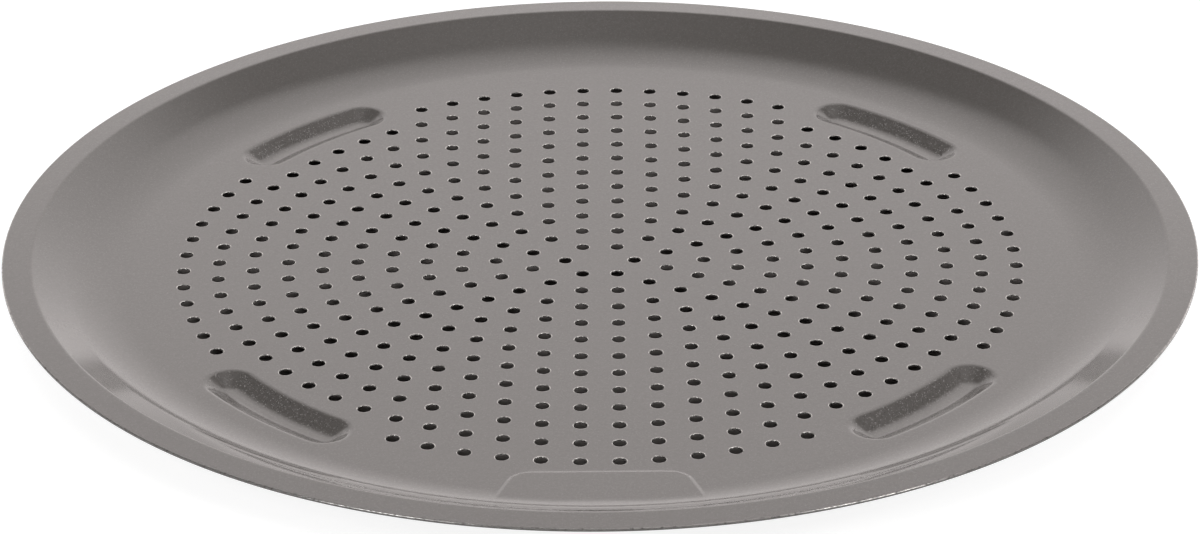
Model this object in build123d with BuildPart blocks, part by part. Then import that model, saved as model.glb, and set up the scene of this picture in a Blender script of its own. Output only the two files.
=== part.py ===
from build123d import *
from math import cos, hypot, radians, sin, sqrt, tan
import os

# Perforated pizza pan, pressed from one disc of sheet steel. Lengths are in millimetres and angles in
# degrees. The pan stands on the plane z = 0, its centre is the Z axis and its front faces -Y. Each radius
# of a bend is the one on the sheet's top face.

# Sheet
sheet = 0.5

# Rim and wall, from the outside inwards: the crest is the corner between the flange and the wall, and it
# lies one rise above the base
rim_diameter = 407.4
flange_width = 10.0
flange_slope = 2.0
crest_round = 2.5
crest_rise = 10.84
wall_angle = 28.0
cove_round = 41.4

# Hem, folded under the rim's edge
hem_gap = 0.2
hem_return = 6.5

# Recesses in the base, which stand out below as feet. Their middle line is set in from the base's edge.
foot_angles = [45.0, 135.0, 225.0, 315.0]
foot_inset = 13.8
foot_half_span = 8.9
foot_depth = 3.6
foot_floor_width = 1.4
foot_floor_round = 6.0
foot_wall_angle = 30.0
foot_lip_round = 4.0
foot_border = 0.4

# Holes in the base, on rings one pitch apart that leave a border at the base's edge
hole_diameter = 4.3
hole_pitch = 11.9
hole_border = 18.0
first_ring_count = 6
hole_to_foot = 2.0

# Raised panel at the front of the base, which reaches in from the base's edge
panel_rise = 0.45
panel_wall_angle = 45.0
panel_reach = 13.6
panel_back_half_width = 27.0
panel_side_slant = 20.0
panel_corner_round = 5.0
panel_sink = 0.2

# How far a cut runs past what it cuts
overrun = 1.0

# Angles that follow from the shape of the work
full_turn = 360.0
half_turn = full_turn / 2
quarter_turn = full_turn / 4

# Heights of the base's two faces
base_top = foot_depth + sheet
base_bottom = foot_depth

# Radii of the rim, the crest and the flat base
rim_radius = rim_diameter / 2
crest_radius = rim_radius - flange_width
cove_rise = cove_round * (1 - cos(radians(wall_angle)))
wall_run = (crest_rise - cove_rise) / tan(radians(wall_angle))
base_flat_radius = crest_radius - wall_run - cove_round * sin(radians(wall_angle))

# Places of the feet, the holes and the panel on the base
foot_circle_radius = base_flat_radius - foot_inset
hole_rings = int((base_flat_radius - hole_border) / hole_pitch)
panel_back = base_flat_radius - panel_reach


def bend_setback(radius, angle):
    """Length from the corner of two straight lines to where a bend of this radius touches them."""
    return radius * tan(radians(angle / 2))


def draw_strip(start, straights, bends):
    """Draw the outline of a strip of sheet that starts level and runs in +X.

    The straight lengths and the bends take turns. A bend is a radius on the top face and a turn, upwards
    where it is positive, and both faces of the sheet turn about one centre.
    """
    tips = []
    for depth in (0, sheet):
        tip = Vector(start[0], start[1] - depth)
        heading = Vector(1, 0)
        for length, (radius, turn) in zip(straights, bends):
            straight = PolarLine(tip, length, direction=heading)
            own_radius = radius + depth if turn > 0 else radius - depth
            bend = JernArc(straight @ 1, heading, own_radius, turn)
            tip = bend @ 1
            heading = bend % 1
        last = PolarLine(tip, straights[-1], direction=heading)
        tips.append(last @ 1)
    Line(tips[0], tips[1])
    Line(start, (start[0], start[1] - sheet))


# Straight lengths between the bends of the wall, the flange and the hem
crest_turn = wall_angle + flange_slope
crest_setback = bend_setback(crest_round, crest_turn)
wall_length = wall_run / cos(radians(wall_angle)) - crest_setback
hem_round = sheet + hem_gap / 2
fold_start_radius = rim_radius - hem_round * (1 - sin(radians(flange_slope)))
flange_length = (fold_start_radius - crest_radius) / cos(radians(flange_slope)) - crest_setback

# Straight length of a foot's wall, and the width of the foot from its middle line
foot_bend_rounds = foot_floor_round + foot_lip_round
foot_wall_height = foot_depth - foot_bend_rounds * (1 - cos(radians(foot_wall_angle)))
foot_wall_length = foot_wall_height / sin(radians(foot_wall_angle))
foot_bends_run = foot_bend_rounds * sin(radians(foot_wall_angle))
foot_wall_run = foot_wall_length * cos(radians(foot_wall_angle))
foot_half_width = foot_floor_width / 2 + foot_bends_run + foot_wall_run + foot_border


def draw_half_foot():
    """Draw half the section of a foot, from the middle of its floor to the border around its lip."""
    draw_strip(
        (0, base_top - foot_depth),
        [foot_floor_width / 2, foot_wall_length, foot_border],
        [(foot_floor_round, foot_wall_angle), (foot_lip_round, -foot_wall_angle)],
    )


def upright_plane(distance, angle, facing):
    """An upright plane through a point of the foot circle, whose X axis points along the facing angle."""
    return Plane(
        origin=(distance * cos(radians(angle)), distance * sin(radians(angle)), 0),
        x_dir=(cos(radians(facing)), sin(radians(facing)), 0),
        z_dir=(sin(radians(facing)), -cos(radians(facing)), 0),
    )


def distance_to_foot(radius, angle):
    """Distance from a point, given by its radius and angle, to the nearest foot's middle line."""
    distances = []
    for foot_angle in foot_angles:
        off_foot = abs((angle - foot_angle + half_turn) % full_turn - half_turn)
        past_end = radians(max(0, off_foot - foot_half_span))
        along = radius * sin(past_end)
        across = radius * cos(past_end) - foot_circle_radius
        distances.append(hypot(along, across))
    return min(distances)


def hole_places(ring):
    """Places of a ring's holes, half a step off the Y axis, without those that would cut into a foot."""
    radius = ring * hole_pitch
    count = ring * first_ring_count
    clear = foot_half_width + hole_diameter / 2 + hole_to_foot
    places = []
    for index in range(count):
        angle = quarter_turn + (index + 0.5) * full_turn / count
        if distance_to_foot(radius, angle) > clear:
            places.append((radius * cos(radians(angle)), radius * sin(radians(angle))))
    return places


def draw_panel(inset):
    """Draw the panel's outline, wider towards the front, where it runs on under the wall."""
    slant = radians(panel_side_slant)
    back = -panel_back - inset
    front = -panel_front
    back_half = panel_back_half_width - inset * (1 - sin(slant)) / cos(slant)
    front_half = back_half + (back - front) * tan(slant)
    FilletPolyline(
        (front_half, front),
        (back_half, back),
        (-back_half, back),
        (-front_half, front),
        radius=panel_corner_round - inset,
    )
    Line((-front_half, front), (front_half, front))


# The panel's top meets the cove where the cove has risen as high.
panel_meets_cove = base_flat_radius + sqrt(cove_round**2 - (cove_round - panel_rise) ** 2)
panel_front = panel_meets_cove + bend_setback(cove_round, wall_angle) / 2
panel_skin_inset = sheet * tan(radians(panel_wall_angle / 2))

# Form of one foot, lying along the +X axis: a curved trough with a half-round end at each end
with BuildPart() as foot_form:
    for facing in (0, half_turn):
        with BuildSketch(upright_plane(foot_circle_radius, -foot_half_span, facing - foot_half_span)):
            with BuildLine():
                draw_half_foot()
            make_face()
    revolve(axis=Axis.Z, revolution_arc=2 * foot_half_span)
    for end, facing in ((-foot_half_span, half_turn), (foot_half_span, 0)):
        end_plane = upright_plane(foot_circle_radius, end, end + facing)
        with BuildSketch(end_plane):
            with BuildLine():
                draw_half_foot()
            make_face()
        revolve(axis=Axis(end_plane.origin, (0, 0, 1)), revolution_arc=half_turn)

# Form of the raised panel, cut off inside the thickness of the cove
with BuildPart() as panel_form:
    with BuildSketch(Plane.XY.offset(base_top)):
        with BuildLine():
            draw_panel(0)
        make_face()
    extrude(amount=panel_rise, taper=panel_wall_angle)
    with BuildSketch(Plane.XY.offset(base_top)):
        Circle(panel_meets_cove + panel_sink)
    extrude(amount=panel_rise, mode=Mode.INTERSECT)

with BuildPart() as pan_body:
    # The disc with its base, wall, rim and hem
    with BuildSketch(Plane.XZ):
        with BuildLine():
            draw_strip(
                (0, base_top),
                [base_flat_radius, wall_length, flange_length, hem_return],
                [(cove_round, wall_angle), (crest_round, -crest_turn), (hem_round, -half_turn)],
            )
        make_face()
    revolve(axis=Axis.Z)

    # The feet
    with BuildSketch(Plane.XY.offset(base_bottom)):
        for foot_angle in foot_angles:
            arc = CenterArc((0, 0), foot_circle_radius, foot_angle - foot_half_span, 2 * foot_half_span)
            SlotArc(arc, height=2 * foot_half_width)
    extrude(amount=sheet, mode=Mode.SUBTRACT)
    with PolarLocations(0, len(foot_angles), start_angle=foot_angles[0]):
        add(foot_form.part)

    # The raised panel, and the hollow behind it
    add(panel_form.part)
    with BuildSketch(Plane.XY.offset(base_bottom)):
        with BuildLine():
            draw_panel(panel_skin_inset)
        make_face()
    extrude(amount=panel_rise, taper=panel_wall_angle, mode=Mode.SUBTRACT)

    # The holes
    with BuildSketch(Plane.XY.offset(base_bottom - overrun)):
        for ring in range(1, hole_rings + 1):
            with Locations(*hole_places(ring)):
                Circle(hole_diameter / 2)
    extrude(amount=sheet + 2 * overrun, mode=Mode.SUBTRACT)

pan_body.part.label = "pan_body"
os.makedirs("parts", exist_ok=True)
export_step(pan_body.part, "parts/pan_body.step")

hole_count = sum(len(hole_places(ring)) for ring in range(1, hole_rings + 1))
print("holes", hole_count, "foot width", 2 * foot_half_width)
print("height", pan_body.part.bounding_box().max.Z, "volume", pan_body.part.volume)
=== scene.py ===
import bpy
import numpy as np
from mathutils import Matrix


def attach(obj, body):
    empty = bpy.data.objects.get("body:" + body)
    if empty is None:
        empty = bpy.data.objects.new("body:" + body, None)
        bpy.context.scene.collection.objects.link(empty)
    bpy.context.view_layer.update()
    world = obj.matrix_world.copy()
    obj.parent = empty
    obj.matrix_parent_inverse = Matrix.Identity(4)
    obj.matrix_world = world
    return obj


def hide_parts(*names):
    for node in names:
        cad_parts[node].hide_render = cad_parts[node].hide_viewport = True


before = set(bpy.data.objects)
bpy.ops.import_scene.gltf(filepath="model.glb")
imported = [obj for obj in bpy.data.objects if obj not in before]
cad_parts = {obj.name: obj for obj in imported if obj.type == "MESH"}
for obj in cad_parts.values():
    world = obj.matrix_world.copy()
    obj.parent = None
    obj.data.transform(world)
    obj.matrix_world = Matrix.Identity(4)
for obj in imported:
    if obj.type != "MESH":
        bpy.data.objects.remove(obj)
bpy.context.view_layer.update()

# Perforated pizza pan, pressed from one disc of coated sheet steel. Sizes are in millimetres and angles in
# degrees, and a finished mesh is scaled to metres. The pan stands on z = 0, its centre is the Z axis and
# its front faces -Y. A radius of a bend is the one on the sheet's upper face.
metres = 0.001
full_turn, half_turn, quarter_turn = 360.0, 180.0, 90.0

# Sheet, rim, wall and hem
sheet = 0.5
rim_radius = 203.7
flange_width = 10.0
flange_slope = 2.0
crest_round = 2.5
crest_rise = 10.84
wall_angle = 28.0
cove_round = 41.4
hem_gap = 0.2
hem_return = 6.5
hem_end_round = 0.08

# Recesses that stand out below as feet
foot_angles = [45.0, 135.0, 225.0, 315.0]
foot_inset = 13.8
foot_half_span = 8.9
foot_depth = 3.6
foot_floor_half = 0.7
foot_floor_round = 6.0
foot_wall_angle = 30.0
foot_lip_round = 4.0

# Punched holes: the punch rolls their upper edge in and leaves a small bevel at their lower edge
hole_radius = 2.15
hole_pitch = 11.9
hole_rings = 12
first_ring_count = 6
hole_roll = 0.28
hole_roll_depth = 0.22
hole_burr = 0.06

# Raised panel at the front: its ramp has climbed by the outline's share where it crosses the outline
panel_angle = 270.0
panel_rise = 0.45
panel_reach = 13.6
panel_back_half = 27.0
panel_side_slant = 20.0
panel_corner_round = 5.0
panel_ramp = 1.9
panel_outline_share = 0.35
panel_blend = 0.12

# Worn places: the rim around a hole, how bare its edge is, and how much of the hem's fold keeps its coating
hole_wear = 0.2
hole_edge_bare = 1.0
hem_unworn = 0.1

# Radii and heights that follow
base_top = foot_depth + sheet
crest_radius = rim_radius - flange_width
wall_sine, wall_cosine = np.sin(np.radians(wall_angle)), np.cos(np.radians(wall_angle))
wall_run = (crest_rise - cove_round * (1 - wall_cosine)) * wall_cosine / wall_sine
base_radius = crest_radius - wall_run - cove_round * wall_sine
foot_circle = base_radius - foot_inset
panel_back = base_radius - panel_reach

# Coating: its darker and lighter grain, its fleck, and the steel that shows where it is worn
coating_dark = (0.086, 0.080, 0.075, 1)
coating_light = (0.096, 0.089, 0.084, 1)
fleck_colour = (0.122, 0.116, 0.111, 1)
steel_colour = (0.50, 0.485, 0.47, 1)
steel_share = 0.86
coating_ior = 1.6

# Flecks: size, how many of the cells hold one, where a cell's fleck fades out, and how far it leans where
# the upright part of the normal falls from level to steep and the sheet is pressed below the base
fleck_size = 0.4
fleck_share = 0.3
fleck_edge, fleck_core = 0.6, 0.4
fleck_lean = 0.65
level_normal, steep_normal = 0.99, 0.93
pressed_depth = 0.4
middle_grey = (0.5, 0.5, 0.5)

# Noises: the size of the marks, their detail and their roughness, and the values between which they count
grain_noise = (1.1, 2.0, 0.6)
mottle_noise = (14.0, 3.0, 0.55)
wear_noise = (1.2, 2.0, 0.5)
noise_low, noise_high = 0.3, 0.7
wear_high = 0.6
grain_depth = 0.005

# Gloss: roughness along the mottle, and its share that is left at a grazing view
smoothest, roughest = 0.165, 0.19
grazing_start, grazing_full = 0.62, 0.85
grazing_share = 0.38

# Studio: bearings in degrees from +Y towards +X, heights in degrees over the horizon. The backlight's upper
# edge falls by its rate times the square of the bearing.
to_degrees = half_turn / np.pi
sky_colour = (1.0, 0.945, 0.935, 1)
lamp_colour = (1.0, 1.0, 1.0, 1)
room_level = 0.083
backlight_bearing = 4.1
backlight_top = 66.0
backlight_fall = 0.0188
backlight_soft = 33.0
backlight_low, backlight_high = 1.40, 1.33
backlight_full_height = 39.0
backlight_side = 60.0
backlight_left, backlight_right = 0.88, 1.21
overhead_bearing = 119.5
overhead_height = 67.0
overhead_reach = 48.0
overhead_level = 0.85
lamp_bearings = [-137.0, 126.0]
lamp_height = 37.0
lamp_reach = 14.0
lamp_soft = 4.0
lamp_level = 7.0
fill_level = 0.28
fill_height = 68.0
fill_spread = 80.0

# Camera: lens and sensor, height over the horizon, distance, offsets in its own picture, turn and roll
camera_lens, camera_sensor = 130.07, 36.0
camera_height = 26.423
camera_distance = 1491.2
camera_lift, camera_push = -2.40, 0.015
camera_turn, camera_roll = 0.200, 0.507

# Floor in metres, and the disc of painted shade under the pan in millimetres. A level is the share of light
# thrown back.
floor_half_width = 6.0
floor_drop = 0.00005
floor_level = 0.5
glowing_floor_level = 0.3
floor_glow = 0.88
# The disc of painted shade: darker than the floor and without its glow, where the pan shades the floor
shade_disc_radius = 164.0
shade_disc_fade = 6.0
painted_shade_colour = (0.315, 0.295, 0.285, 1)

# How finely the mesh is divided: holes and the seams between their rings
side_steps = 5
seam_half = 0.5
weld_digits = 5

# The band outside the holes, and the sectors of sheet, counted by half their angle, around feet and panel
band_rows = 2
patch_edge = 161.5
patch_half = 15.0
arc_steps = int(2 * patch_half)

# Bends and straights of the wall, rim and hem
cove_steps, open_cove_steps = 10, 4
straight_steps = 2
crest_steps = 6
flange_steps = 3
hem_steps = 12

# Foot: its bends, its long sides and its half-round ends
foot_bend_steps = 4
foot_side_steps, foot_cap_steps = 26, 16

# Panel: a fine grid across its ramp at the back and sides, and wider rows and columns beyond
panel_grid = 0.26
panel_back_margin, panel_back_rows = 0.65, 23
panel_front_rows = [157.0, 160.0, base_radius, 165.0, 167.0, 168.2, 169.2, 170.6]
panel_side_margin, panel_side_columns = 0.9, 24
panel_outer_columns, panel_inner_columns = [5.0, 2.4], [-9.0, -14.0, -20.0]
slope_step = 0.01


def polar(radius, angle, height):
    """Points at a radius and an angle about the Z axis, at a height. The three broadcast together."""
    turn = np.radians(angle)
    return np.stack(np.broadcast_arrays(radius * np.cos(turn), radius * np.sin(turn), height), axis=-1)


def upright(points):
    """Normals that point straight up, one for each point."""
    return np.broadcast_to([0.0, 0.0, 1.0], points.shape)


def grid_patch(points, normals, bare=0.0):
    """Two triangles for each square of a grid, or of a batch of grids.

    A row's direction crossed with a column's direction points out of the sheet. bare says how much steel
    shows through the coating at a point.
    """
    index = np.arange(points[..., 0].size).reshape(points.shape[:-1])
    a, b, c, d = index[..., :-1, :-1], index[..., 1:, :-1], index[..., 1:, 1:], index[..., :-1, 1:]
    halves = [np.stack([a, b, c], -1).reshape(-1, 3), np.stack([a, c, d], -1).reshape(-1, 3)]
    shown = np.broadcast_to(bare, points.shape[:-1])
    return points.reshape(-1, 3), normals.reshape(-1, 3), shown.ravel(), np.concatenate(halves)


def loop_about(centre, points, normals):
    """A closed loop with the place of each point: its angle about a centre, as a share of the full turn."""
    angle = np.arctan2(points[:, 1] - centre[1], points[:, 0] - centre[0])
    return points, normals, angle / (2 * np.pi)


def loop_of_sides(sides):
    """A closed loop made of sides that meet at corners, with the place of each point.

    Each side takes up an equal share of the turn, which its points divide by their distance along it.
    """
    places = []
    for number, (points, _) in enumerate(sides):
        run = np.cumsum(np.linalg.norm(np.diff(points, axis=0), axis=1))
        places.append((number + np.append(0.0, run[:-1]) / run[-1]) / len(sides))
    points, normals = (np.concatenate([side[part][:-1] for side in sides]) for part in (0, 1))
    return points, normals, np.concatenate(places)


def stitched_patch(inner, outer):
    """Triangles between two closed loops that run counterclockwise, one inside the other.

    Both loops are put in order of their places, and each step goes on along the loop whose next point
    has the earlier place.
    """
    points, normals, places = [], [], []
    for loop_points, loop_normals, loop_places in (inner, outer):
        order = np.argsort(loop_places)
        points.append(loop_points[order])
        normals.append(loop_normals[order])
        places.append(np.append(loop_places[order], loop_places[order[0]] + 1))
    count, other = len(points[0]), len(points[1])
    steps = np.argsort(np.concatenate([places[0][1:], places[1][1:]]), kind="stable")
    on_inner = steps < count
    i = np.cumsum(on_inner) - on_inner
    j = np.cumsum(~on_inner) - ~on_inner
    third = np.where(on_inner, (i + 1) % count, count + (j + 1) % other)
    triangles = np.stack([i % count, count + j % other, third], -1)
    points = np.concatenate(points)
    return points, np.concatenate(normals), np.zeros(len(points)), triangles


def underside(patch):
    """The same patch on the sheet's lower face: one sheet deeper along the normals, and turned over."""
    points, normals, bare, triangles = patch
    return points - sheet * normals, -normals, bare, triangles[:, ::-1]


def both_faces(patch):
    """A patch of the sheet's upper face and the same on its lower face."""
    return [patch, underside(patch)]


def sheet_section(start, pieces):
    """Rows along the upper face of a section that starts level: radius, height and lean of each.

    A piece is (length, turn, steps). With no turn it is straight. With a turn its length is the radius of
    a bend, upwards where the turn is positive: the radius grows by the bend's radius times the change of
    the lean's sine, and the height falls by it times the change of the cosine.
    """
    radius, height, lean = [np.array([start[0]])], [np.array([start[1]])], [np.zeros(1)]
    for length, turn, steps in pieces:
        share = np.arange(1, steps + 1) / steps
        first = lean[-1][-1]
        if turn == 0:
            along, up = length * share * np.cos(first), length * share * np.sin(first)
            leans = np.full(steps, first)
        else:
            leans = first + np.radians(turn) * share
            signed = length * np.sign(turn)
            along = signed * (np.sin(leans) - np.sin(first))
            up = signed * (np.cos(first) - np.cos(leans))
        radius.append(radius[-1][-1] + along)
        height.append(height[-1][-1] + up)
        lean.append(leans)
    return np.concatenate(radius), np.concatenate(height), np.concatenate(lean)


def turned_patch(radius, height, lean, angles, bare=0.0):
    """A section carried round the Z axis: one row for each of its points, one column for each angle."""
    points = polar(radius[:, None], angles, height[:, None])
    normals = polar(-np.sin(lean)[:, None], angles, np.cos(lean)[:, None])
    return grid_patch(points, normals, bare)


def disc_section():
    """Rows of the upper face from the flat base out to the end of the hem."""
    crest_turn = wall_angle + flange_slope
    setback = crest_round * np.tan(np.radians(crest_turn / 2))
    hem_round = sheet + hem_gap / 2
    fold_start = rim_radius - hem_round * (1 - np.sin(np.radians(flange_slope)))
    flange = (fold_start - crest_radius) / np.cos(np.radians(flange_slope)) - setback
    pieces = [
        (base_radius - patch_edge, 0, 1),
        (cove_round, wall_angle, cove_steps),
        (wall_run / wall_cosine - setback, 0, straight_steps),
        (crest_round, -crest_turn, crest_steps),
        (flange, 0, flange_steps),
        (hem_round, -half_turn, hem_steps),
        (hem_return, 0, straight_steps),
    ]
    return sheet_section((patch_edge, base_top), pieces)


def hole_cells(ring, angles):
    """Cells of a ring's holes: each is a sector of the base with its hole in the middle.

    A cell's rows run from its outline on the lower face to the hole, up the hole's wall, over its edge and
    out across the worn rim to its outline on the upper face. A column joins a point of the hole's circle to
    one of the sector's outline. Both start at the same corner and run counterclockwise: out along one
    straight side, round the outer arc, in along the other side and back round the inner arc.
    """
    step = np.arange(4 * side_steps + 1)
    side = step / side_steps
    outwards = np.clip(2 * side - 1, -1, 1) - np.clip(2 * (side - 2), 0, 2)
    across = np.clip(2 * side - 3, -1, 1) - np.clip(2 * (side - 3), 0, 2)
    half_width = half_turn / (ring * first_ring_count)
    middle = angles[:, None]
    radius = ring * hole_pitch + outwards * (hole_pitch / 2 - seam_half)
    outline = polar(radius, middle + across * half_width, base_top)
    first_corner = half_turn + quarter_turn / 2 - full_turn
    turn = middle + full_turn * step / (4 * side_steps) + first_corner
    centre = polar(ring * hole_pitch, middle, base_top)

    wall_rows = [
        (hole_radius + hole_burr, sheet, 0.0, -1.0, 0.0),
        (hole_radius, sheet - hole_burr, -1.0, 0.0, 1.0),
        (hole_radius, hole_roll_depth, -1.0, 0.0, 1.0),
        (hole_radius + hole_roll, 0.0, 0.0, 1.0, hole_edge_bare),
        (hole_radius + hole_roll + hole_wear, 0.0, 0.0, 1.0, 0.0),
    ]
    points = [outline - [0, 0, sheet]]
    normals = [-upright(outline)]
    bare = [0.0]
    for radius, depth, inwards, up, steel in wall_rows:
        points.append(centre + polar(radius, turn, -depth))
        normals.append(polar(inwards, turn, up))
        bare.append(steel)
    points.append(outline)
    normals.append(upright(outline))
    bare.append(0.0)
    return grid_patch(np.stack(points, 1), np.stack(normals, 1), np.array(bare)[:, None])


def ring_loop(radius, count):
    """A closed loop of points on a circle of the base, from the Y axis on."""
    return polar(radius, quarter_turn + full_turn * np.arange(count) / count, base_top)


def base_patches():
    """The perforated base: the cells, the seams between their rings and the middle of the base."""
    loop_step = first_ring_count * side_steps
    first = ring_loop(hole_pitch / 2 + seam_half, loop_step)
    closed = np.concatenate([first, first[:1]])
    middle = np.stack([closed * [0, 0, 1], closed])
    patches = both_faces(grid_patch(middle, upright(middle)))
    for ring in range(1, hole_rings + 1):
        count = ring * first_ring_count
        angles = quarter_turn + (np.arange(count) + 0.5) * full_turn / count
        if ring == hole_rings:
            off_foot = np.abs((angles[:, None] - foot_angles + half_turn) % full_turn - half_turn).min(1)
            angles = angles[off_foot > patch_half]
        patches.append(hole_cells(ring, angles))
        if ring < hole_rings:
            seam = (ring + 0.5) * hole_pitch
            inner = ring_loop(seam - seam_half, ring * loop_step)
            outer = ring_loop(seam + seam_half, (ring + 1) * loop_step)
            loops = [loop_about((0, 0), loop, upright(loop)) for loop in (inner, outer)]
            patches += both_faces(stitched_patch(*loops))
    return patches


def sector_sides(middle, radius, height, lean):
    """The four sides of a sector of the sheet, counterclockwise, each with its points and normals.

    Its straight sides have the radii, heights and leans that are given, from the inside outwards.
    """
    arc = middle + patch_half * (2 * np.arange(arc_steps + 1) / arc_steps - 1)
    section = np.stack([radius, height, lean])
    sides = []
    for (side_radius, side_height, side_lean), angle in (
        (section, middle - patch_half),
        (section[:, -1], arc),
        (section[:, ::-1], middle + patch_half),
        (section[:, 0], arc[::-1]),
    ):
        points = polar(side_radius, angle, side_height)
        sides.append((points, polar(-np.sin(side_lean), angle, np.cos(side_lean))))
    return sides


def cell_side_radii():
    """Radii of the points on the side of an outermost cell, and on through the band to the patch's edge."""
    outer = hole_rings * hole_pitch
    cell = outer + (hole_pitch / 2 - seam_half) * (2 * np.arange(side_steps + 1) / side_steps - 1)
    band = np.linspace(cell[-1], patch_edge, band_rows + 1)
    return cell, band


def foot_wall_length():
    """Straight length of a foot's wall: what the bends of its floor and lip leave of the foot's depth."""
    rounds = foot_floor_round + foot_lip_round
    lean = np.radians(foot_wall_angle)
    return (foot_depth - rounds * (1 - np.cos(lean))) / np.sin(lean)


def foot_patch(middle):
    """A foot's recess and the flat sector of the base around it.

    Each loop of the recess keeps one distance from the foot's middle line, an arc about the Z axis, and
    goes round its ends in half circles. The distance and the height follow the foot's section.
    """
    pieces = [
        (foot_floor_half, 0, 1),
        (foot_floor_round, foot_wall_angle, foot_bend_steps),
        (foot_wall_length(), 0, straight_steps),
        (foot_lip_round, -foot_wall_angle, foot_bend_steps),
    ]
    distance, height, lean = sheet_section((0, base_top - foot_depth), pieces)
    along = 2 * np.arange(foot_side_steps + 1) / foot_side_steps - 1
    around = np.pi * np.arange(1, foot_cap_steps) / foot_cap_steps
    side, cap = np.ones_like(along), np.ones_like(around)
    ends = np.concatenate([along, cap, -along, -cap, along[:1]])
    facing = np.concatenate([0 * side, around, np.pi * side, np.pi + around, [2 * np.pi]])
    line_angle = middle + foot_half_span * ends
    outwards = np.radians(line_angle) + facing
    line = polar(foot_circle, line_angle, 0.0)
    reach = np.stack([np.cos(outwards), np.sin(outwards), np.zeros_like(outwards)], -1)
    up = np.array([0.0, 0.0, 1.0])
    points = line + distance[:, None, None] * reach + height[:, None, None] * up
    normals = -np.sin(lean)[:, None, None] * reach + np.cos(lean)[:, None, None] * up
    recess = grid_patch(points, normals)

    cell, band = cell_side_radii()
    radius = np.concatenate([cell, band[1:]])
    flat = np.full(len(radius), base_top)
    outline, outline_normals, _ = loop_of_sides(sector_sides(middle, radius, flat, np.zeros(len(radius))))
    centre = polar(foot_circle, middle, 0.0)
    lip = loop_about(centre, points[-1, :-1], normals[-1, :-1])
    around_recess = stitched_patch(lip, loop_about(centre, outline, outline_normals))
    return both_faces(recess) + both_faces(around_recess)


def cove_height(radius):
    """Rise of the cove's arc over the base at a radius, and the lean of the sheet there."""
    out = np.clip(radius - base_radius, 0.0, None)
    return cove_round - np.sqrt(cove_round**2 - out**2), np.arcsin(out / cove_round)


def panel_height(x, y):
    """Height of the upper face around the panel.

    The panel's outline is the meeting of its back line and its two slanted sides, rounded at the corners.
    A smooth ramp climbs across the outline, and a smooth maximum joins the panel's top to the cove.
    """
    slant = np.radians(panel_side_slant)
    from_back = -y - panel_back
    from_side = (panel_back_half + from_back * np.tan(slant) - np.abs(x)) * np.cos(slant)
    to_back = np.clip(panel_corner_round - from_back, 0, None)
    to_side = np.clip(panel_corner_round - from_side, 0, None)
    inside = panel_corner_round - np.hypot(to_back, to_side)
    share = np.clip(inside / panel_ramp + panel_outline_share, 0, 1)
    raised = panel_rise * share**2 * (3 - 2 * share)
    cove, _ = cove_height(np.hypot(x, y))
    return base_top + (raised + cove + np.hypot(raised - cove, panel_blend * share)) / 2


def panel_patches(side_radius, side_height, side_lean):
    """The raised panel on its own fine grid, and the strip that joins it to the sheet around it.

    The grid's rows are straight at the back and turn into arcs about the Z axis at the front, and its
    columns spread with the panel's slanted sides. A normal is square to the slopes across and along, which
    are differences of the height over a small step.
    """
    back_start = panel_back - panel_back_margin
    back_rows = back_start + panel_grid * np.arange(panel_back_rows)
    depth = np.concatenate([back_rows, panel_front_rows])
    side_columns = panel_side_margin - panel_grid * np.arange(panel_side_columns)
    from_edge = np.concatenate([panel_outer_columns, side_columns, panel_inner_columns])
    slant = np.tan(np.radians(panel_side_slant))
    half = panel_back_half + (depth - panel_back) * slant
    right = half[:, None] + from_edge
    x = np.concatenate([-right, right[:, ::-1]], axis=1)
    share = np.clip((depth - back_start) / (base_radius - back_start), 0, 1)[:, None]
    y = -np.sqrt(depth[:, None] ** 2 - share * x**2)
    z = panel_height(x, y)
    slope_x = (panel_height(x + slope_step, y) - panel_height(x - slope_step, y)) / (2 * slope_step)
    slope_y = (panel_height(x, y + slope_step) - panel_height(x, y - slope_step)) / (2 * slope_step)
    points = np.stack([x, y, z], -1)
    normals = np.stack([-slope_x, -slope_y, np.ones_like(x)], -1)
    normals /= np.linalg.norm(normals, axis=-1, keepdims=True)
    radius = np.hypot(x, y)
    _, lean = cove_height(radius)
    thickness = np.stack([-np.sin(lean) * x / radius, -np.sin(lean) * y / radius, np.cos(lean)], -1)
    points_below = points - sheet * thickness
    outline = sector_sides(panel_angle, side_radius, side_height, side_lean)
    outline_below = [(at - sheet * normal, -normal) for at, normal in outline]

    def edge(grid, grid_normals):
        sides = (np.s_[:, 0], np.s_[-1], np.s_[::-1, -1], np.s_[0, ::-1])
        return loop_of_sides([(grid[side], grid_normals[side]) for side in sides])

    def turned_over(patch):
        return *patch[:3], patch[3][:, ::-1]

    return [
        grid_patch(points, normals),
        turned_over(grid_patch(points_below, -normals)),
        stitched_patch(edge(points, normals), loop_of_sides(outline)),
        turned_over(stitched_patch(edge(points_below, -normals), loop_of_sides(outline_below))),
    ]


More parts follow.
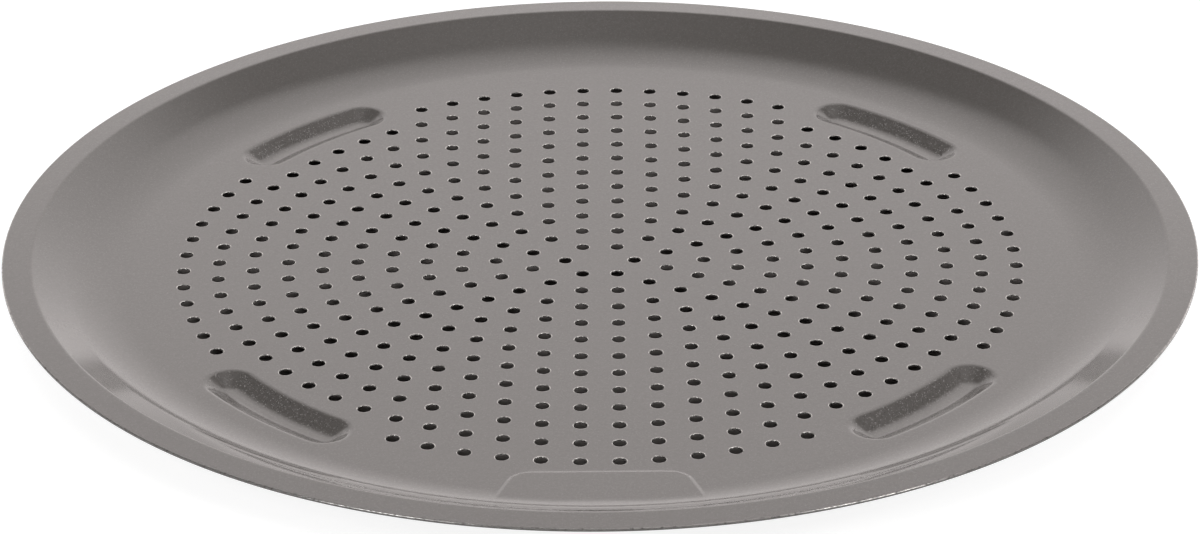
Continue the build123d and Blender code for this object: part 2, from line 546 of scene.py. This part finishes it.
def rim_patches():
    """The flat band outside the holes, the cove, wall, crest, flange and hem, on both faces of the sheet.

    The panel's sector interrupts them as far out as the open rows of the cove, and from there on they go
    all round. The hem's fold is worn by minus the sine of twice its lean, which is most where it faces half
    upwards.
    """
    radius, height, lean = disc_section()
    _, band = cell_side_radii()
    flat, level = np.full(band_rows + 1, base_top), np.zeros(band_rows + 1)
    patches = []
    sectors = sorted(foot_angles + [panel_angle])
    for last, following in zip([sectors[-1] - full_turn] + sectors, sectors):
        angles = np.arange(last + patch_half, following - patch_half + 1)
        patches += both_faces(turned_patch(band, flat, level, angles))

    open_end = open_cove_steps + 1
    open_angles = np.arange(panel_angle + patch_half, panel_angle + full_turn - patch_half + 1)
    inner = radius[:open_end + 1], height[:open_end + 1], lean[:open_end + 1]
    patches += both_faces(turned_patch(*inner, open_angles))

    under_radius = radius + sheet * np.sin(lean)
    under_height = height - sheet * np.cos(lean)
    end = lean[-1]
    depth = np.array([hem_end_round, sheet - hem_end_round])
    end_radius = radius[-1] + hem_end_round * np.cos(end) + depth * np.sin(end)
    end_height = height[-1] + hem_end_round * np.sin(end) - depth * np.cos(end)
    end_lean = np.full(len(depth), end - np.pi / 2)

    def there_and_back(upper, fold, lower):
        return np.concatenate([upper[open_end:], fold, lower[open_end:][::-1]])

    path_radius = there_and_back(radius, end_radius, under_radius)
    path_height = there_and_back(height, end_height, under_height)
    path_lean = there_and_back(lean, end_lean, lean + np.pi)
    worn = np.clip(-np.sin(2 * lean) - hem_unworn, 0, 1)
    bare = there_and_back(worn, 0 * end_lean, 0 * lean)
    all_round = np.arange(full_turn + 1)
    patches.append(turned_patch(path_radius, path_height, path_lean, all_round, bare[:, None]))

    side_radius = np.concatenate([band[:-1], inner[0]])
    side_height = np.concatenate([flat[:-1], inner[1]])
    side_lean = np.concatenate([level[:-1], inner[2]])
    patches += panel_patches(side_radius, side_height, side_lean)
    return patches


def welded_mesh(name, patches):
    """One mesh from all the patches, with points that coincide made one and collapsed triangles dropped."""
    starts = np.cumsum([0] + [len(patch[0]) for patch in patches])
    points = np.concatenate([patch[0] for patch in patches])
    normals = np.concatenate([patch[1] for patch in patches])
    bare = np.concatenate([patch[2] for patch in patches])
    triangles = np.concatenate([patch[3] + start for patch, start in zip(patches, starts)])
    rounded = np.round(points, weld_digits)
    _, first, place = np.unique(rounded, axis=0, return_index=True, return_inverse=True)
    triangles = place.reshape(-1)[triangles]
    a, b, c = triangles.T
    triangles = triangles[(a != b) & (b != c) & (c != a)]
    mesh = bpy.data.meshes.new(name)
    mesh.from_pydata((points[first] * metres).tolist(), [], triangles.tolist())
    mesh.polygons.foreach_set("use_smooth", np.ones(len(triangles), bool))
    shown = mesh.attributes.new("bare_steel", "FLOAT", "POINT")
    shown.data.foreach_set("value", bare[first].astype(np.float32))
    mesh.validate()
    mesh.normals_split_custom_set_from_vertices(normals[first].tolist())
    return mesh


def make_pan():
    """The whole pan as one closed sheet."""
    patches = base_patches() + rim_patches()
    for angle in foot_angles:
        patches += foot_patch(angle)
    mesh = welded_mesh("pressed_pan", patches)
    pan = bpy.data.objects.new("pressed_pan", mesh)
    bpy.context.scene.collection.objects.link(pan)
    return pan


def feed(tree, value, socket):
    """Set a socket to a value, or link another node's output to it."""
    if isinstance(value, bpy.types.NodeSocket):
        tree.links.new(value, socket)
    else:
        socket.default_value = value


def math_node(tree, operation, *values):
    """Output of one Math node. Each value is a number or another node's output."""
    node = tree.nodes.new("ShaderNodeMath")
    node.operation = operation
    for value, socket in zip(values, node.inputs):
        feed(tree, value, socket)
    return node.outputs[0]


def vector_node(tree, operation, first, second=None):
    """Vector output of one Vector Math node, from one or two vectors."""
    node = tree.nodes.new("ShaderNodeVectorMath")
    node.operation = operation
    feed(tree, first, node.inputs[0])
    if second is not None:
        feed(tree, second, node.inputs[1])
    return node.outputs["Vector"]


def ramp_node(tree, value, low, high, to_low=0.0, to_high=1.0):
    """Output of a smooth step of a value from low to high."""
    node = tree.nodes.new("ShaderNodeMapRange")
    node.interpolation_type = "SMOOTHSTEP"
    tree.links.new(value, node.inputs["Value"])
    for name, number in (("From Min", low), ("From Max", high), ("To Min", to_low), ("To Max", to_high)):
        node.inputs[name].default_value = number
    return node.outputs["Result"]


def mix_node(tree, share, first, second):
    """Output of a mix from the first colour to the second by a share. A colour may be a node's output."""
    node = tree.nodes.new("ShaderNodeMix")
    node.data_type = "RGBA"
    tree.links.new(share, node.inputs["Factor"])
    feed(tree, first, node.inputs["A"])
    feed(tree, second, node.inputs["B"])
    return node.outputs["Result"]


def noise_node(tree, place, size, detail, roughness):
    """Output of a noise on a place, with marks of a size in millimetres."""
    node = tree.nodes.new("ShaderNodeTexNoise")
    tree.links.new(place, node.inputs["Vector"])
    node.inputs["Scale"].default_value = 1.0 / (size * metres)
    node.inputs["Detail"].default_value = detail
    node.inputs["Roughness"].default_value = roughness
    return node.outputs["Fac"]


def upright_part(tree, vector):
    """Output of a vector's part along the Z axis."""
    node = tree.nodes.new("ShaderNodeSeparateXYZ")
    tree.links.new(vector, node.inputs["Vector"])
    return node.outputs["Z"]


def fleck_cells(tree, place):
    """A cell's random colour, the strength of its fleck's tint, and how far a point lies inside the fleck.

    A cell holds a fleck where the red of its colour is within the flecks' share. The green is the strength
    of the tint, and the fleck fades out towards the cell's edge.
    """
    cells = tree.nodes.new("ShaderNodeTexVoronoi")
    tree.links.new(place, cells.inputs["Vector"])
    cells.inputs["Scale"].default_value = 1.0 / (fleck_size * metres)
    pick = tree.nodes.new("ShaderNodeSeparateColor")
    tree.links.new(cells.outputs["Color"], pick.inputs["Color"])
    chosen = math_node(tree, "GREATER_THAN", pick.outputs["Red"], 1 - fleck_share)
    inside = ramp_node(tree, cells.outputs["Distance"], fleck_edge, fleck_core)
    return cells.outputs["Color"], pick.outputs["Green"], math_node(tree, "MULTIPLY", chosen, inside)


def stretched_normal(tree, place, colour, fleck):
    """The surface's normal, with each fleck leaning its own way where the sheet is pressed into a foot.

    A fleck's lean is its cell's colour less middle grey, times how steep the sheet is, how far it lies
    under the base and the flecks' own lean.
    """
    normal = tree.nodes.new("ShaderNodeNewGeometry").outputs["Normal"]
    upwards = math_node(tree, "ABSOLUTE", upright_part(tree, normal))
    steep = ramp_node(tree, upwards, level_normal, steep_normal)
    pressed_level = (base_top - pressed_depth) * metres
    pressed = ramp_node(tree, upright_part(tree, place), base_top * metres, pressed_level)
    stretched = math_node(tree, "MULTIPLY", math_node(tree, "MULTIPLY", steep, pressed), fleck_lean)
    leaning = tree.nodes.new("ShaderNodeVectorMath")
    leaning.operation = "SCALE"
    tree.links.new(vector_node(tree, "SUBTRACT", colour, middle_grey), leaning.inputs[0])
    tree.links.new(math_node(tree, "MULTIPLY", fleck, stretched), leaning.inputs["Scale"])
    leaned = vector_node(tree, "ADD", normal, leaning.outputs["Vector"])
    return vector_node(tree, "NORMALIZE", leaned)


def make_coating():
    """Semi-gloss dark grey non-stick coating with a fine metallic fleck, and steel where it is worn.

    A fine grain gives the colour its tone and the surface its bumps, and a wide mottle changes the gloss.
    The coating looks glossier at a grazing view.
    """
    material = bpy.data.materials.new("nonstick_coating")
    material.use_nodes = True
    tree = material.node_tree
    shader = tree.nodes["Principled BSDF"]
    place = tree.nodes.new("ShaderNodeTexCoord").outputs["Object"]
    grain, mottle, wear = (
        noise_node(tree, place, *noise) for noise in (grain_noise, mottle_noise, wear_noise)
    )

    cell_colour, tint, fleck = fleck_cells(tree, place)
    tone = mix_node(tree, ramp_node(tree, grain, noise_low, noise_high), coating_dark, coating_light)
    flecked = mix_node(tree, math_node(tree, "MULTIPLY", fleck, tint), tone, fleck_colour)
    bare = tree.nodes.new("ShaderNodeAttribute")
    bare.attribute_name = "bare_steel"
    steel = math_node(tree, "MULTIPLY", bare.outputs["Fac"], ramp_node(tree, wear, noise_low, wear_high))
    tree.links.new(mix_node(tree, steel, flecked, steel_colour), shader.inputs["Base Color"])
    tree.links.new(math_node(tree, "MULTIPLY", steel, steel_share), shader.inputs["Metallic"])

    view = tree.nodes.new("ShaderNodeLayerWeight")
    grazing = ramp_node(tree, view.outputs["Facing"], grazing_start, grazing_full, 1.0, grazing_share)
    roughness = ramp_node(tree, mottle, noise_low, noise_high, smoothest, roughest)
    tree.links.new(math_node(tree, "MULTIPLY", roughness, grazing), shader.inputs["Roughness"])
    shader.inputs["IOR"].default_value = coating_ior

    bump = tree.nodes.new("ShaderNodeBump")
    tree.links.new(stretched_normal(tree, place, cell_colour, fleck), bump.inputs["Normal"])
    bump.inputs["Distance"].default_value = grain_depth * metres
    tree.links.new(grain, bump.inputs["Height"])
    tree.links.new(bump.outputs["Normal"], shader.inputs["Normal"])
    return material


def make_floor():
    """A wide pale floor that keeps a faint shadow, with a disc of painted shade under the pan.

    The floor looks white through a glow that only the camera, mirrors and glass see. To other light it is a
    plain pale floor. Under the pan the disc has no glow and a darker colour: painted shade beneath the pan,
    seen through the holes, on which the pan's own rendered shadow also falls.
    """
    half = floor_half_width
    corners = [(-half, -half, 0), (half, -half, 0), (half, half, 0), (-half, half, 0)]
    mesh = bpy.data.meshes.new("floor")
    mesh.from_pydata(corners, [], [(0, 1, 2, 3)])
    floor = bpy.data.objects.new("floor", mesh)
    bpy.context.scene.collection.objects.link(floor)
    floor.location = (0, 0, -floor_drop)
    material = bpy.data.materials.new("white_floor")
    material.use_nodes = True
    tree = material.node_tree
    tree.nodes.clear()
    distance = tree.nodes.new("ShaderNodeVectorMath")
    distance.operation = "LENGTH"
    tree.links.new(tree.nodes.new("ShaderNodeTexCoord").outputs["Object"], distance.inputs[0])
    shade_disc_edge, floor_edge = shade_disc_radius * metres, (shade_disc_radius + shade_disc_fade) * metres
    outside = ramp_node(tree, distance.outputs["Value"], shade_disc_edge, floor_edge)
    path = tree.nodes.new("ShaderNodeLightPath")
    seen = math_node(tree, "MAXIMUM", path.outputs["Is Camera Ray"], path.outputs["Is Glossy Ray"])
    seen = math_node(tree, "MAXIMUM", seen, path.outputs["Is Transmission Ray"])
    glow = tree.nodes.new("ShaderNodeEmission")
    seen_outside = math_node(tree, "MULTIPLY", seen, outside)
    tree.links.new(math_node(tree, "MULTIPLY", seen_outside, floor_glow), glow.inputs["Strength"])
    level = math_node(tree, "MULTIPLY_ADD", seen, glowing_floor_level - floor_level, floor_level)
    diffuse = tree.nodes.new("ShaderNodeBsdfDiffuse")
    # Inside the disc the floor takes the painted shade colour instead of its own level
    tree.links.new(mix_node(tree, outside, painted_shade_colour, level), diffuse.inputs["Color"])
    both = tree.nodes.new("ShaderNodeAddShader")
    tree.links.new(diffuse.outputs[0], both.inputs[0])
    tree.links.new(glow.outputs[0], both.inputs[1])
    output = tree.nodes.new("ShaderNodeOutputMaterial")
    tree.links.new(both.outputs[0], output.inputs["Surface"])
    mesh.materials.append(material)


def make_world():
    """A dim room with a wide backlight behind the pan, a soft glow overhead and a lamp on either hand.

    The backlight's upper edge is highest behind the pan and falls with the square of the bearing to either
    side. Its light grows a little with the height and from left to right. The glow and the lamps are round,
    and their light falls with the angle from their middle.
    """
    world = bpy.data.worlds.new("studio")
    world.use_nodes = True
    tree = world.node_tree
    direction = tree.nodes.new("ShaderNodeTexCoord").outputs["Generated"]
    parts = tree.nodes.new("ShaderNodeSeparateXYZ")
    tree.links.new(direction, parts.inputs["Vector"])
    bearing = math_node(tree, "ARCTAN2", parts.outputs["X"], parts.outputs["Y"])
    bearing = math_node(tree, "MULTIPLY", bearing, to_degrees)
    height = math_node(tree, "MULTIPLY", math_node(tree, "ARCSINE", parts.outputs["Z"]), to_degrees)
    off = math_node(tree, "SUBTRACT", bearing, backlight_bearing)
    drop = math_node(tree, "MULTIPLY", math_node(tree, "MULTIPLY", off, off), backlight_fall)
    under_edge = math_node(tree, "SUBTRACT", math_node(tree, "SUBTRACT", backlight_top, drop), height)
    shape = ramp_node(tree, under_edge, -backlight_soft / 2, backlight_soft / 2)
    level = ramp_node(tree, height, 0.0, backlight_full_height, backlight_low, backlight_high)
    across = ramp_node(tree, bearing, -backlight_side, backlight_side, backlight_left, backlight_right)
    level = math_node(tree, "MULTIPLY", math_node(tree, "MULTIPLY", level, across), shape)
    light = math_node(tree, "ADD", level, room_level)

    def spot(spot_bearing, spot_height, reach, soft, spot_level):
        turn, rise = np.radians(spot_bearing), np.radians(spot_height)
        level_reach = np.cos(rise)
        towards = tree.nodes.new("ShaderNodeVectorMath")
        towards.operation = "DOT_PRODUCT"
        tree.links.new(direction, towards.inputs[0])
        spot_middle = (np.sin(turn) * level_reach, np.cos(turn) * level_reach, np.sin(rise))
        towards.inputs[1].default_value = spot_middle
        away = math_node(tree, "ARCCOSINE", math_node(tree, "MINIMUM", towards.outputs["Value"], 1.0))
        away = math_node(tree, "MULTIPLY", away, to_degrees)
        return ramp_node(tree, away, reach, reach - soft, 0.0, spot_level)

    overhead = spot(overhead_bearing, overhead_height, overhead_reach, overhead_reach, overhead_level)
    sky = tree.nodes["Background"]
    sky.inputs["Color"].default_value = sky_colour
    tree.links.new(math_node(tree, "ADD", light, overhead), sky.inputs["Strength"])
    left, right = (spot(at, lamp_height, lamp_reach, lamp_soft, lamp_level) for at in lamp_bearings)
    lamps = tree.nodes.new("ShaderNodeBackground")
    lamps.inputs["Color"].default_value = lamp_colour
    tree.links.new(math_node(tree, "ADD", left, right), lamps.inputs["Strength"])
    both = tree.nodes.new("ShaderNodeAddShader")
    tree.links.new(sky.outputs[0], both.inputs[0])
    tree.links.new(lamps.outputs[0], both.inputs[1])
    tree.links.new(both.outputs[0], tree.nodes["World Output"].inputs["Surface"])
    bpy.context.scene.world = world


def make_fill():
    """A soft light from behind the pan that only evens out the matt shading, and shows in no reflection.

    Its strength gives a level surface the fill's level.
    """
    light = bpy.data.lights.new("fill", "SUN")
    light.energy = fill_level * np.pi / np.sin(np.radians(fill_height))
    light.angle = np.radians(fill_spread)
    fill = bpy.data.objects.new("fill", light)
    fill.rotation_euler = (np.radians(fill_height - quarter_turn), 0.0, 0.0)
    fill.visible_glossy = False
    bpy.context.scene.collection.objects.link(fill)


def make_camera():
    """The photograph's camera: it looks down at the middle of the base from the front.

    It stands back along its line of sight, is pushed to the right and lifted in its own picture, then
    rolled about that line, and at last turned about the Z axis.
    """
    height, turn, roll = np.radians([camera_height, camera_turn, camera_roll])
    forwards = np.array([0.0, np.cos(height), -np.sin(height)])
    right = np.array([1.0, 0.0, 0.0])
    up = np.cross(right, forwards)
    place = -forwards * camera_distance + right * camera_push + up * camera_lift
    rolled_right = np.cos(roll) * right - np.sin(roll) * up
    rolled_up = np.sin(roll) * right + np.cos(roll) * up
    spin = np.array([[np.cos(turn), -np.sin(turn), 0], [np.sin(turn), np.cos(turn), 0], [0, 0, 1]])
    axes = np.stack([spin @ rolled_right, spin @ rolled_up, -(spin @ forwards)], axis=1)
    place = (spin @ place + [0, 0, base_top]) * metres
    matrix = np.eye(4)
    matrix[:3, :3] = axes
    matrix[:3, 3] = place
    data = bpy.data.cameras.new("camera")
    data.lens = camera_lens
    data.sensor_width = camera_sensor
    camera = bpy.data.objects.new("camera", data)
    camera.matrix_world = Matrix(matrix.tolist())
    bpy.context.scene.collection.objects.link(camera)
    bpy.context.scene.camera = camera


make_camera()
make_world()
make_fill()
make_floor()
pan = make_pan()
pan.data.materials.append(make_coating())
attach(pan, "root")
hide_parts("pan_body")

bpy.context.scene.view_settings.view_transform = "Standard"
